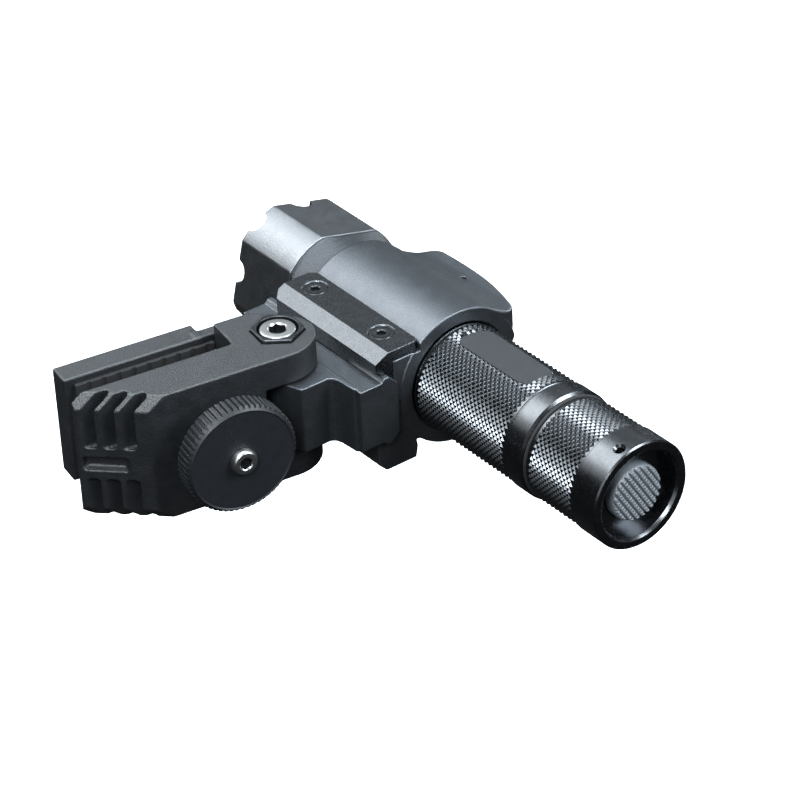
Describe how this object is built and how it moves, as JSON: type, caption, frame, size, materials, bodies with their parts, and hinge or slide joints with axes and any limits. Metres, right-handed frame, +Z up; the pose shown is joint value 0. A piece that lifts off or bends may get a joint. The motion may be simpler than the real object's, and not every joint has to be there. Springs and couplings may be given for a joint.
{
  "type": "tactical flashlight with clamp mount",
  "caption": "Tactical flashlight held by a ring mount on a short accessory rail that swivels on a thumbwheel clamp for the edge of a shield or panel.",
  "frame": {"origin": "on the gripping face of the clamp's front jaw, 42 mm from the swivel axis, at mid height", "axes": "+Y out of the front jaw's gripping face through the gripped panel, +X along the clamp arm towards the light, +Z up along the swivel axis"},
  "size_m": [0.1326, 0.1577, 0.0414],
  "materials": {
    "clamp_polymer": "fine moulded texture, satin",
    "insert_brass": "machined",
    "lining_rubber": "matte",
    "screw_steel": "satin stainless",
    "screw_black": "black oxide",
    "washer_nylon": "natural nylon",
    "wheel_black": "satin black",
    "mount_anodised": "bead blasted, grey-black anodised",
    "jaw_anodised": "bead blasted, black anodised",
    "barrel_anodised": "gloss black hard anodised, knurled",
    "head_anodised": "bead blasted, black anodised",
    "lens_glass": "coated, clear",
    "reflector_mirror": "polished",
    "led_board_white": "ceramic",
    "led_phosphor": "domed silicone",
    "driver_brass": "turned",
    "contact_brass": "plated wire",
    "spring_steel": "plated wire",
    "cell_wrap": "shrink wrapped can",
    "switch_plastic": "moulded",
    "button_rubber": "ridged, matte"
  },
  "bodies": {
    "clamp": {"clamp_body": "clamp_polymer", "clamp_insert": "insert_brass", "rear_jaw": "clamp_polymer", "rear_jaw_pad": "lining_rubber", "rear_jaw_screws": "screw_black", "pivot_bolt": "screw_steel", "pivot_bushing": "screw_black", "pivot_nut": "screw_steel", "friction_washers": "washer_nylon"},
    "pressure_pad": {"pressure_pad": "screw_steel", "pad_facing": "lining_rubber"},
    "thumbwheel": {"thumbwheel": "wheel_black", "clamp_spindle": "screw_steel", "thumbwheel_screw": "screw_steel"},
    "light": {"rail_carrier": "mount_anodised", "ring_mount": "mount_anodised", "ring_liner": "lining_rubber", "ring_set_screw": "screw_black", "barrel": "barrel_anodised", "tail_oring": "lining_rubber", "head_oring": "lining_rubber", "head_housing": "head_anodised", "strike_bezel": "head_anodised", "lens": "lens_glass", "lens_oring": "lining_rubber", "reflector": "reflector_mirror", "led_board": "led_board_white", "led_emitter": "led_phosphor", "driver_module": "driver_brass", "front_contact_spring": "contact_brass", "battery_cell": "cell_wrap"},
    "rail_jaw": {"rail_jaw_plate": "jaw_anodised"},
    "jaw_screw_front": {"jaw_screw_front": "screw_black"},
    "jaw_screw_rear": {"jaw_screw_rear": "screw_black"},
    "tail_spring": {"tail_spring": "spring_steel"},
    "tail_cap": {"tail_cap": "barrel_anodised", "switch_module": "switch_plastic", "switch_retaining_ring": "driver_brass"},
    "tail_button": {"tail_button": "button_rubber", "switch_plunger": "switch_plastic"}
  },
  "joints": [
    {"name": "light_swivel", "type": "hinge", "parent": "clamp", "child": "light", "pos_m": [0.042, -0.0005, 0], "axis": [0, 0, 1], "range_deg": [-31, 13]},
    {"name": "pad_travel", "type": "slide", "parent": "clamp", "child": "pressure_pad", "axis": [0, 1, 0], "range_m": [-0.002, 0.0045]},
    {"name": "wheel_turn", "type": "hinge", "parent": "pressure_pad", "child": "thumbwheel", "pos_m": [0.0182, -0.0205, 0], "axis": [0, 1, 0], "range_deg": [-721, 1621]},
    {"name": "rail_jaw_lift", "type": "slide", "parent": "light", "child": "rail_jaw", "axis": [0, 0, 1], "range_m": [0, 0.0021]},
    {"name": "front_jaw_screw_turn", "type": "hinge", "parent": "rail_jaw", "child": "jaw_screw_front", "pos_m": [0.06236, 0.01732, 0.0149], "axis": [0, 0, 1], "range_deg": [0, 1081]},
    {"name": "rear_jaw_screw_turn", "type": "hinge", "parent": "rail_jaw", "child": "jaw_screw_rear", "pos_m": [0.06706, -0.01234, 0.0149], "axis": [0, 0, 1], "range_deg": [0, 1081]},
    {"name": "tail_cap_travel", "type": "slide", "parent": "light", "child": "tail_spring", "axis": [-0.1564, 0.9877, 0], "range_m": [-0.008, 0]},
    {"name": "tail_cap_twist", "type": "hinge", "parent": "tail_spring", "child": "tail_cap", "pos_m": [0.09633, -0.08018, 0], "axis": [-0.1564, 0.9877, 0], "range_deg": [-2881, 0]},
    {"name": "button_press", "type": "slide", "parent": "tail_cap", "child": "tail_button", "axis": [-0.1564, 0.9877, 0], "range_m": [0, 0.0016], "stiffness_N_per_m": 2500, "springref_m": -0.0003}
  ],
  "couplings": [
    {"joint": "wheel_turn", "follows": "pad_travel", "rad_per_m": 6283.2},
    {"joint": "front_jaw_screw_turn", "follows": "rail_jaw_lift", "rad_per_m": 8976},
    {"joint": "rear_jaw_screw_turn", "follows": "rail_jaw_lift", "rad_per_m": 8976},
    {"joint": "tail_cap_twist", "follows": "tail_cap_travel", "rad_per_m": 6283.2}
  ]
}
